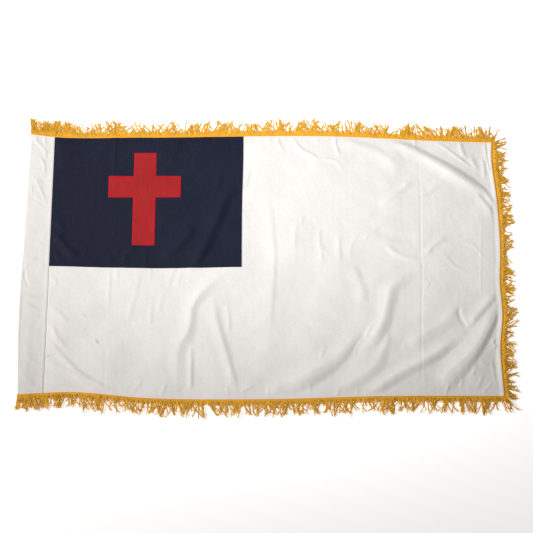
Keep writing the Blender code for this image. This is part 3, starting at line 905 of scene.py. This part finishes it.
stitchForm = {
    "length": 0.0026,
    "pitch": 0.0034,
    "inset": 0.0030,
    "radius": 0.00030,
    "shares": (-0.5, -0.3, 0.3, 0.5),  # its four points along its length
    "lifts": (-0.6, 0.5, 0.5, -0.6),  # and their heights in radii
    "tones": (0.3, 0.7),  # in turn
}


def clothTop(x, y):
    return clothRise(x, y) + clothForm["thickness"]


def cellLines(bands, end):
    lines = []
    for (start, cell), following in zip(bands, [band[0] for band in bands[1:]] + [end]):
        part = divide((start, following), cell, partsOf=3)
        lines.append(part[1:] if lines else part)
    return np.concatenate(lines)


def addField():
    p = cellLines(fieldPiece["columnBands"], flyInner + hemUnderFringe)
    q = cellLines(fieldPiece["rowBands"], cantonHeight + hemUnderFringe)
    p, q = np.meshgrid(p, q)
    x, y = lie(p, q)
    z = clothTop(x, y)
    inside = np.minimum(np.minimum(p - cantonLeft, cantonRight - p), np.minimum(q, cantonHeight - q))
    hidden = ease((inside - fieldPiece["hiddenFrom"]) / fieldPiece["hiddenWidth"])
    z -= fieldPiece["hiddenUnderCanton"] * hidden
    mesh = closedSheet("fieldCloth", np.stack([x, y, z], axis=-1), clothForm["shownThickness"])
    return addPiece("fieldCloth", mesh, whiteCloth, "field")


def addCanton():
    p = divide((cantonLeft, cantonRight), cantonPiece["cell"], partsOf=3)
    q = divide((0.0, cantonHeight), cantonPiece["cell"], partsOf=3)
    p, q = np.meshgrid(p, q)
    width = cantonPiece["pullWidth"]
    pulled = ease((p - cantonRight + width) / width)
    pulled = pulled * ease((q - cantonPiece["pullFrom"]) / cantonPiece["pullHeight"])
    x, y = lie(p + cantonPiece["topPull"] * pulled, q)
    z = clothTop(x, y) + cantonPiece["clear"] + cantonPiece["thickness"]
    mesh = closedSheet("cantonCloth", np.stack([x, y, z], axis=-1), cantonPiece["thickness"])
    return addPiece("cantonCloth", mesh, navyCloth, "canton")


crossMiddle = cantonLeft + crossPiece["centreInset"]
crossLift = cantonPiece["clear"] + cantonPiece["thickness"] + crossPiece["clear"] + crossPiece["thickness"]


# the line along the middle of the cross's stitched edge on the flat cloth: its corners anticlockwise
def crossCorners():
    inset = crossPiece["satinWidth"] / 2
    arm, span = crossPiece["armWidth"] / 2 - inset, crossPiece["span"] / 2 - inset
    foot, head = crossPiece["foot"] + inset, crossPiece["foot"] + crossPiece["height"] - inset
    barFoot = crossPiece["barFoot"] + inset
    barHead = crossPiece["barFoot"] + crossPiece["armWidth"] - inset
    half = [(arm, foot), (arm, barFoot), (span, barFoot), (span, barHead), (arm, barHead), (arm, head)]
    right = [(crossMiddle + p, q) for p, q in half]
    left = [(crossMiddle - p, q) for p, q in reversed(half)]
    return right + left


def addCross():
    arm, span = crossPiece["armWidth"] / 2, crossPiece["span"] / 2
    pMarks = [crossMiddle + offset for offset in (-span, -arm, arm, span)]
    top = crossPiece["barFoot"] + crossPiece["armWidth"]
    qMarks = [crossPiece["foot"], crossPiece["barFoot"], top, crossPiece["foot"] + crossPiece["height"]]
    p, q = np.meshgrid(divide(pMarks, crossPiece["cell"]), divide(qMarks, crossPiece["cell"]))
    x, y = lie(p, q)
    points = np.stack([x, y, clothTop(x, y) + crossLift], axis=-1).reshape(-1, 3)
    quads = gridQuads(numbered(*p.shape))
    middleP, middleQ = p.ravel()[quads].mean(1), q.ravel()[quads].mean(1)
    upright = abs(middleP - crossMiddle) < arm
    bar = (middleQ > crossPiece["barFoot"]) & (middleQ < top)
    quads = quads[upright | bar]
    used = np.unique(quads)
    renumber = np.zeros(len(points), int)
    renumber[used] = np.arange(len(used))
    mesh = newMesh("crossCloth", points[used], renumber[quads].tolist())
    piece = addPiece("crossCloth", mesh, redCloth, "cross")
    thicken(piece, crossPiece["thickness"], -1.0)
    return piece


# a close band of satin stitches over the cross's edge, each thread a ridge of its own, with the grooves
# between them in a deeper red as painted shade
def addSatinEdge():
    corners = np.array(crossCorners())
    runs = []
    for start, end in zip(corners, np.roll(corners, -1, axis=0)):
        count = round(np.linalg.norm(end - start) / crossPiece["satinPitch"]) * 2
        runs.append(start + (end - start) * (np.arange(count) / count)[:, None])
    line = np.concatenate(runs)
    ahead = np.roll(line, -3, axis=0) - np.roll(line, 3, axis=0)
    ahead /= np.linalg.norm(ahead, axis=1, keepdims=True)
    outward = np.stack([ahead[:, 1], -ahead[:, 0]], axis=1)
    across = np.linspace(0, math.pi, crossPiece["satinPoints"])
    ridges = 1.0 - crossPiece["satinNotch"] * (np.arange(len(line)) % 2)
    half = crossPiece["satinWidth"] / 2
    flat = line[:, None] + outward[:, None] * (np.cos(across) * half)[None, :, None]
    x, y = lie(flat[..., 0], flat[..., 1])
    rise = np.sin(across) ** crossPiece["satinRound"] * crossPiece["satinHeight"] * ridges[:, None]
    z = clothTop(x, y) + crossLift - crossPiece["thickness"] - crossPiece["satinSink"] + rise
    numbers = numbered(*x.shape)
    faces = gridQuads(np.concatenate([numbers, numbers[:1]])).tolist()
    mesh = newMesh("crossSatinEdge", np.stack([x, y, z], axis=-1), faces)
    # the lower places between the threads get the painted shade
    setTone(mesh, np.repeat(crossPiece["satinGrooveShade"] * (np.arange(len(line)) % 2), len(across)))
    return addPiece("crossSatinEdge", mesh, redSatin, "cross")


# a row of short stitches along a line of places (stitch, xyz), each a little thread sunk at both ends
def addStitches(name, line, finish, node):
    radius = stitchForm["radius"]
    ahead = np.gradient(line, axis=0)
    ahead /= np.linalg.norm(ahead, axis=1, keepdims=True)
    along = np.array(stitchForm["shares"])[:, None] * stitchForm["length"]
    paths = line[:, None] + ahead[:, None] * along
    paths[..., 2] += radius * np.array(stitchForm["lifts"])
    radii = np.full(paths.shape[:2], radius)
    tones = np.resize(stitchForm["tones"], len(line))
    return addPiece(name, threadMesh(name, paths, radii, tones), finish, node)


# the canton's four sides, a stitch's width inside its edge
def cantonStitchLine():
    inset, pitch = stitchForm["inset"], stitchForm["pitch"]
    left, right, low, high = cantonLeft + inset, cantonRight - inset, inset, cantonHeight - inset
    corners = ((left, low), (right, low), (right, high), (left, high), (left, low))
    runs = []
    for (p0, q0), (p1, q1) in zip(corners, corners[1:]):
        count = round(math.hypot(p1 - p0, q1 - q0) / pitch)
        share = (np.arange(count) + 0.5) / count
        runs.append(np.stack([p0 + (p1 - p0) * share, q0 + (q1 - q0) * share], axis=1))
    p, q = np.concatenate(runs).T
    x, y = lie(p, q)
    return np.stack([x, y, clothTop(x, y) + cantonPiece["clear"] + cantonPiece["thickness"]], axis=1)


field = addField()
canton = addCanton()
cantonStitches = addStitches("cantonStitches", cantonStitchLine(), navyThread, "canton")
cross = addCross()
satinEdge = addSatinEdge()
print("field, canton and cross laid out")

# Pole sleeve

sleevePiece = {
    "thickness": 0.0009,
    "clear": 0.0001,  # between its layers and the field's edge
    "flangeClear": 0.0003,
    "flangeLift": 0.0004,  # air under the flange and between its layers
    "crown": 0.0102,
    # waves up the crown: share of its height, how quick, and where it starts
    "crownWaves": ((0.03, 9, 0), (0.02, 23, 1)),
    "crownSpan": (-0.452, 0.458),
    "shoulder": 0.006,  # from the hoist fold to where the crown starts to fall
    "lateFall": 0.30,  # this share of the fall comes late: after the same share of the width
    "swells": ((0.060, 0.00022, 1.4, 21), (0.022, 0.00008, 1.6, 22)),
    "wrinkleMargin": 0.12,  # share of the width over which wrinkles die out at either side
    "ends": (-0.462, 0.468),
    "cells": 210,
    "crownPoints": 30,
    "foldPoints": 10,
    "floorPoints": 8,
    "stitched": (-0.452, 0.452),
}
# told like the folds of the cloth
sleeveCreases = (
    (1.8, 10, 14, 0.6, ((-805, 448), (-783, 424), (-763, 402), (-761, 374))),
    (1.6, 8, 12, 0.7, ((-778, 376), (-765, 352), (-763, 319))),
    (1.4, 7, 10, 0.7, ((-798, 468), (-795, 429))),
    (1.4, 8, 10, 0.7, ((-769, 462), (-765, 422))),
    (1.2, 8, 14, 0.8, ((-795, 300), (-772, 258), (-753, 215))),
    (1, 8, 12, 0.8, ((-804, 276), (-802, 240))),
    (-1, 8, 8, 0.8, ((-781, 305), (-749, 276))),
    (-1, 8, 8, 0.8, ((-819, 236), (-746, 200))),
    (-0.7, 6, 6, 0.8, ((-812, 165), (-744, 168))),
    (-0.7, 6, 6, 0.8, ((-774, 80), (-743, 66))),
    (1.2, 6, 8, 0.6, ((-794, 2), (-817, -22))),
    (-1.4, 8, 8, 0.6, ((-815, -22), (-810, -60), (-797, -92))),
    (0.9, 10, 12, 0.9, ((-790, -330), (-760, -350))),
    (1, 10, 12, 0.9, ((-800, -400), (-765, -420))),
)
flangeStart = seamX - seamOverlap - sleevePiece["flangeClear"]
flangeHeight = clothForm["thickness"] + 2 * sleevePiece["thickness"] + sleevePiece["flangeLift"]


def crownHeight(y):
    low, high = sleevePiece["crownSpan"]
    shareUp = (y - low) / (high - low)
    waves = sum(part * np.sin(quick * shareUp + start) for part, quick, start in sleevePiece["crownWaves"])
    return sleevePiece["crown"] * (1 + waves)


# height of the sleeve's outer face, from the hoist fold's own crown to the flange
def sleeveTop(x, y):
    crown = crownHeight(y)
    shoulder = smoothLine(hoistLine, y) + sleevePiece["shoulder"]
    share = np.clip((x - shoulder) / (flangeStart - shoulder), 0, 1)
    late = sleevePiece["lateFall"]
    fall = (1 - late) * share + late * ease((share - late) / (1 - late))
    wrinkles = sum(swell(x, y, *wave) for wave in sleevePiece["swells"])
    for crease in sleeveCreases:
        wrinkles = wrinkles + ridge(crease, x, y)
    margin = sleevePiece["wrinkleMargin"]
    wrinkles = wrinkles * ease(share / margin) * ease((1 - share) / margin)
    return crown + (flangeHeight - crown) * fall + wrinkles


def addSleeve():
    form = sleevePiece
    half = form["thickness"] / 2
    guideY = np.linspace(*form["ends"], form["cells"] + 1)
    hoistX = smoothLine(hoistLine, guideY)
    low = clothForm["thickness"] + form["clear"] + half
    radius = (sleeveTop(hoistX + form["shoulder"], guideY) - 2 * half) / 2
    foldX = hoistX + half + radius
    # the section, each place as x and z up the whole length: flange, floor layer, hoist fold, crown
    foldedBack = low + form["thickness"] + form["clear"]
    sections = [(seamX - half, foldedBack), (seamX - half, low), (flangeStart, low)]
    for share in np.linspace(0, 1, form["floorPoints"]):
        start = flangeStart - seamOverlap
        sections.append((start + (foldX - start) * share, half))
    for turn in np.linspace(1.5 * math.pi, 0.5 * math.pi, form["foldPoints"] + 2)[1:-1]:
        sections.append((foldX + radius * math.cos(turn), half + radius * (1 + math.sin(turn))))
    for share in np.linspace(0, 1, form["crownPoints"]):
        x = foldX + (flangeStart - foldX) * share
        sections.append((x, sleeveTop(x, guideY) - half))
    x = np.stack([across + 0 * guideY for across, up in sections], axis=1)
    z = np.stack([up + 0 * guideY for across, up in sections], axis=1)
    lowEnd = smoothLine(bottomLine, x) - hemUnderFringe
    highEnd = smoothLine(topLine, x) + hemUnderFringe
    y = lowEnd + (highEnd - lowEnd) * np.linspace(0, 1, form["cells"] + 1)[:, None]
    faces = gridQuads(numbered(*x.shape), rings=True)[:, ::-1].tolist()
    mesh = newMesh("sleeveCloth", np.stack([x, y, z], axis=-1), faces)
    piece = addPiece("sleeveCloth", mesh, sleeveLitWhite, "pole_sleeve")
    thicken(piece, form["thickness"], 0.0)
    return piece


def seamStitchLine():
    y = np.arange(*sleevePiece["stitched"], stitchForm["pitch"])
    x = seamX - stitchForm["inset"] + 0 * y
    return np.stack([x, y, flangeHeight - sleevePiece["clear"] + 0 * y], axis=1)


sleeve = addSleeve()
# the seam's grey thread is painted shadow
seamStitches = addStitches("seamStitches", seamStitchLine(), shadowGreyThread, "pole_sleeve")
print("sleeve made")

# Fringe: a braided heading, a net of crossing cords, and loose curly yarns in tufts

fringeForm = {
    "cell": 0.004,  # along the heading
    "restsAt": 0.004,  # the fringe lies as high as the cloth this far outside the headings' inner edges
    "aboveSleeve": 0.0003,
    "braidWidth": 0.0062,
    "braidHeight": 0.0014,
    "headingWidth": 0.0125,
    "backingHeight": 0.0006,
    "braidSection": ((0.0, 0.0), (0.0, 0.7), (0.12, 1.0), (0.5, 1.12), (0.88, 1.0), (1.0, 0.62)),
    "stitchPlace": (0.42, 1.10),  # shares of the braid's width and height, as in its section
    "stitchEnds": 0.003,
    # net: each cord leaves the braid at a share of its width, and rises in the middle
    "netPitch": 0.0025,
    "netRadius": 0.00105,
    "netSteps": 5,
    "netFrom": 0.75,
    "netSlant": (0.0020, 0.0085),
    "netReach": (0.01125, 0.01725),
    "netHeight": 0.0011,
    "netArch": 0.0006,
    "netDrop": 0.0004,
    "netCrossing": 0.0003,  # one way's cords lie this much higher, the other's lower
    "netTone": 0.7,
    # strands: the leans, with their spread and limit, tuftReach, shortStrand and longStrand are shares of the
    # run's reach
    "strandYarns": 4,
    "tuftWidth": (0.018, 0.050),
    "tuftSets": ((0.0, 0.40), (0.40, 0.68)),  # the share of strands in each set of tufts, from and to
    "tuftLean": (0.45, 0.80),
    "tuftGather": (0.12, 0.65),
    "tuftReach": (0.78, 1.08),
    "looseLean": (0.75, 1.25),  # of the strands in neither set
    "fanWidth": 0.040,  # they fan out within this of a run's end
    "uprightWidth": 0.030,  # and lean less within this
    "shortShare": 0.48,
    "shortStrand": (0.34, 0.86),
    "longStrand": (0.86, 1.12),
    "bow": 0.0026,
    "hook": 0.012,
    "pile": 0.0040,
    "strandTone": (0.45, 0.22),
    "leanShortens": 0.5,
    # yarns: what each adds to its strand, and at which shares of its length
    "yarnRadius": 0.00128,
    "yarnSteps": 10,
    "yarnStart": 0.0072,
    "yarnLength": (0.90, 1.05),
    "yarnWidth": (0.78, 1.12),
    "yarnTaper": (1.12, 0.40, 0.20),  # how wide it starts, how much of that it loses, and from where
    "yarnRoot": 0.0008,  # it leaves the heading this high
    "yarnDown": 0.5,  # where it has come down to the floor
    "yarnPile": 0.0010,
    "pileFrom": 0.25,  # where it has risen to its place in the pile
    "pileFall": (0.55, 0.55),  # how much it sinks again, and from where
    "yarnTone": 0.12,
    "fray": (0.0007, 0.9),  # how far yarns part, and how much more of that at their tips
    "waver": 0.0006,
    "waves": (1.2, 2.6),
    "loops": 0.0012,
    "loopWaves": 2.2,
    "bend": 0.006,
    "bendFrom": 0.60,
    "turnBack": 0.10,
    "turnFrom": 0.65,
    "curlyShare": 0.10,
    "curlyBend": 0.032,
    "curlyTurnBack": (0.2, 1.0),
}


# Each run goes along its edge by a place s: where that is, and which way is outward.
def topEdge(s, out):
    return s, smoothLine(topLine, s) + out


def bottomEdge(s, out):
    return s, smoothLine(bottomLine, s) - out


def flyEdge(s, out):
    return smoothLine(flyLine, s) + out, s


def overSleeve(x, y):
    return sleeveTop(x, y) + fringeForm["aboveSleeve"]


# what every run tells, and in this order
runParts = ("name", "node", "edge", "over", "start", "end", "strands", "reach", "fan", "braidTone", "seed")
fringeRuns = (
    ("Top", "fringe_top", topEdge, clothTop, seamX + 0.002, 0.789, 540, 0.053, (0.0, 0.55), 0.0, 11),
    ("Fly", "fringe_fly", flyEdge, clothTop, -0.455, 0.430, 340, 0.046, (0.6, 0.5), 1.35, 12),
    ("Bottom", "fringe_bottom", bottomEdge, clothTop, seamX + 0.002, 0.789, 510, 0.053, (0.0, 0.7), 0.0, 13),
    ("SleeveTop", "fringe_sleeve_top", topEdge, overSleeve,
     -0.815, seamX - 0.001, 84, 0.052, (0.1, 0.60), 0.0, 14),
    ("SleeveBottom", "fringe_sleeve_bottom", bottomEdge, overSleeve,
     -0.817, seamX - 0.001, 84, 0.050, (0.1, 0.45), 0.0, 15),
)


def restHeight(run, s):
    return run["over"](*run["edge"](s, fringeForm["restsAt"]))


# points of a run, as far out and as high as given
def placeAt(run, s, out, z):
    x, y = run["edge"](s, out)
    return np.stack([x, y, z], axis=-1)


def addHeading(run):
    form = fringeForm
    count = round((run["end"] - run["start"]) / form["cell"])
    s = np.linspace(run["start"], run["end"], count + 1)
    section = [(out * form["braidWidth"], up * form["braidHeight"]) for out, up in form["braidSection"]]
    section += [(form["headingWidth"], form["backingHeight"]), (form["headingWidth"], 0.0)]
    rest = restHeight(run, s)
    points = np.stack([placeAt(run, s, out, rest + up) for out, up in section], axis=1)
    numbers = numbered(len(s), len(section))
    faces = gridQuads(numbers, rings=True).tolist() + [numbers[0].tolist(), numbers[-1, ::-1].tolist()]
    mesh = newMesh("heading" + run["name"], points, faces)
    setTone(mesh, np.full(numbers.size, run["braidTone"]))
    setUv(mesh, np.repeat(s, len(section)), np.tile(np.arange(len(section)) / len(section), len(s)))
    return addPiece("heading" + run["name"], mesh, goldBraid, run["node"])


# one row of gold stitches holds the braid down
def addBraidStitches(run):
    ends, (across, up) = fringeForm["stitchEnds"], fringeForm["stitchPlace"]
    s = np.arange(run["start"] + ends, run["end"] - ends, stitchForm["pitch"])
    rise = up * fringeForm["braidHeight"]
    line = placeAt(run, s, across * fringeForm["braidWidth"], restHeight(run, s) + rise)
    return addStitches("stitches" + run["name"], line, goldNet, run["node"])


# cords that leave the braid at a slant, half of them each way, so that they cross
def addNet(run):
    form = fringeForm
    rng = np.random.default_rng(run["seed"] + 50)
    start, end = run["start"], run["end"]
    count = round((end - start) / form["netPitch"])
    root = start + (end - start) * (np.arange(count)[:, None] + 0.5) / count
    share = np.linspace(0, 1, form["netSteps"])
    rise = form["netHeight"] + form["netArch"] * np.sin(share * math.pi) - form["netDrop"] * share
    ways = []
    for side in (-1, 1):
        slant = side * rng.uniform(*form["netSlant"], (count, 1))
        out = form["netFrom"] * form["braidWidth"] + rng.uniform(*form["netReach"], (count, 1)) * share
        s = np.clip(root + slant * (share - 0.5), start, end)
        ways.append((s, out, rise + side * form["netCrossing"] + 0 * s))
    s, out, rise = (np.concatenate(both) for both in zip(*ways))
    paths = placeAt(run, s, out, restHeight(run, s) + rise)
    tones = rng.uniform(0, form["netTone"], len(paths))
    mesh = threadMesh("net" + run["name"], paths, np.full(paths.shape[:2], form["netRadius"]), tones)
    return addPiece("net" + run["name"], mesh, goldNet, run["node"])


# tufts along a run: their bounds, how far each leans, how much it gathers, and its reach
def layTufts(rng, run):
    form, start, end = fringeForm, run["start"], run["end"]
    bounds = [start]
    while bounds[-1] < end:
        bounds.append(bounds[-1] + rng.uniform(*form["tuftWidth"]))
    bounds = start + (np.array(bounds) - start) * (end - start) / (bounds[-1] - start)
    tufts = len(bounds) - 1
    most = form["tuftLean"][1]
    lean = np.clip(rng.normal(0, form["tuftLean"][0], tufts), -most, most)
    return bounds, lean, rng.uniform(*form["tuftGather"], tufts), rng.uniform(*form["tuftReach"], tufts)


# a run's strands: where each starts, how far it leans for its length, and that length
def layStrands(rng, run):
    form, start, end, reach, strands = fringeForm, run["start"], run["end"], run["reach"], run["strands"]
    root = np.sort(rng.uniform(start, end, strands))
    startFan, endFan = run["fan"]
    fan = endFan * (1 - ease((end - root) / form["fanWidth"]))
    fan = fan - startFan * (1 - ease((root - start) / form["fanWidth"]))
    inward = ease(np.minimum(root - start, end - root) / form["uprightWidth"])
    # two sets of tufts lie over each other, and some strands belong to neither
    most = form["looseLean"][1]
    slant = np.clip(rng.normal(0, form["looseLean"][0], strands), -most, most) * inward
    longest = np.ones(strands)
    chosen = rng.random(strands)
    for low, high in form["tuftSets"]:
        bounds, lean, gather, tuftReach = layTufts(rng, run)
        tuft = np.clip(np.searchsorted(bounds, root) - 1, 0, len(lean) - 1)
        middle, half = (bounds[tuft + 1] + bounds[tuft]) / 2, (bounds[tuft + 1] - bounds[tuft]) / 2
        gathered = middle + half * gather[tuft] * rng.uniform(-1, 1, strands) - root
        mine = (chosen >= low) & (chosen < high)
        slant[mine] = (gathered / reach + lean[tuft] * inward)[mine]
        longest[mine] = tuftReach[tuft][mine]
    slant += fan
    full = rng.random(strands) > form["shortShare"]
    long, short = rng.uniform(*form["longStrand"], strands), rng.uniform(*form["shortStrand"], strands)
    share = np.where(full, long, short)
    return root, slant, reach * longest * share / np.sqrt(1 + form["leanShortens"] * slant ** 2)


# loose yarns, a few to a strand: a tuft's strands start side by side, cross one another, and part at their
# ends
def addYarns(run):
    form = fringeForm
    rng = np.random.default_rng(run["seed"])
    root, slant, length = layStrands(rng, run)
    strands = len(root)
    t = np.linspace(0, 1, form["yarnSteps"])[None]
    bow = rng.normal(0, form["bow"], (strands, 1)) * np.sin(math.pi * t)
    hook = rng.normal(0, form["hook"], (strands, 1))
    layer = rng.uniform(0, form["pile"], strands)
    tone = rng.normal(*form["strandTone"], strands)
    # from strands to their yarns
    strand = np.repeat(np.arange(strands), form["strandYarns"])
    one = (len(strand), 1)
    length = length[strand][:, None] * rng.uniform(*form["yarnLength"], one)
    curly = rng.random(one) < form["curlyShare"]
    fray = rng.normal(0, form["fray"][0], one) * (1 + form["fray"][1] * t ** 2)
    waver = form["waver"] * np.sin(2 * math.pi * (rng.uniform(*form["waves"], one) * t + rng.random(one)))
    bend = hook[strand] + rng.normal(0, 1, one) * np.where(curly, form["curlyBend"], form["bend"])
    turnBack = np.where(curly, rng.uniform(*form["curlyTurnBack"], one), form["turnBack"])
    s = root[strand][:, None] + slant[strand][:, None] * length * t + bow[strand] + fray + waver
    s += bend * np.maximum(t - form["bendFrom"], 0) ** 1.5
    out = form["yarnStart"] + (t - turnBack * np.maximum(t - form["turnFrom"], 0) ** 1.5) * length
    wide, lost, lostFrom = form["yarnTaper"]
    radii = form["yarnRadius"] * rng.uniform(*form["yarnWidth"], one)
    radii = radii * (wide - lost * ease((t - lostFrom) / (1 - lostFrom)))
    # from the heading down to the floor, some way up in the pile
    rootHeight = restHeight(run, np.clip(s[:, :1], run["start"], run["end"])) + form["yarnRoot"]
    risen = ease(t / form["pileFrom"])
    sunk, sunkFrom = form["pileFall"]
    layer = layer[strand][:, None] + rng.uniform(0, form["yarnPile"], one)
    hump = layer * risen * (1 - sunk * ease((t - sunkFrom) / (1 - sunkFrom)))
    loop = np.abs(np.sin(math.pi * (form["loopWaves"] * t + rng.uniform(0, 1, one))))
    z = rootHeight * (1 - ease(t / form["yarnDown"])) + radii + hump + form["loops"] * loop * risen
    tones = np.clip(tone[strand] + rng.normal(0, form["yarnTone"], len(strand)), 0, 1)
    paths = placeAt(run, s, out, z)
    mesh = threadMesh("yarns" + run["name"], paths, radii, tones)
    step = np.linalg.norm(np.diff(paths, axis=1), axis=2).mean(1)
    along = step[:, None] * np.arange(form["yarnSteps"])
    setUv(mesh, np.repeat(along, 4), np.tile(np.arange(4) / 4, along.size))
    return addPiece("yarns" + run["name"], mesh, goldYarn, run["node"])


for told in fringeRuns:
    run = dict(zip(runParts, told))
    addHeading(run)
    addBraidStitches(run)
    addNet(run)
    addYarns(run)
    print("fringe", run["name"], "made")
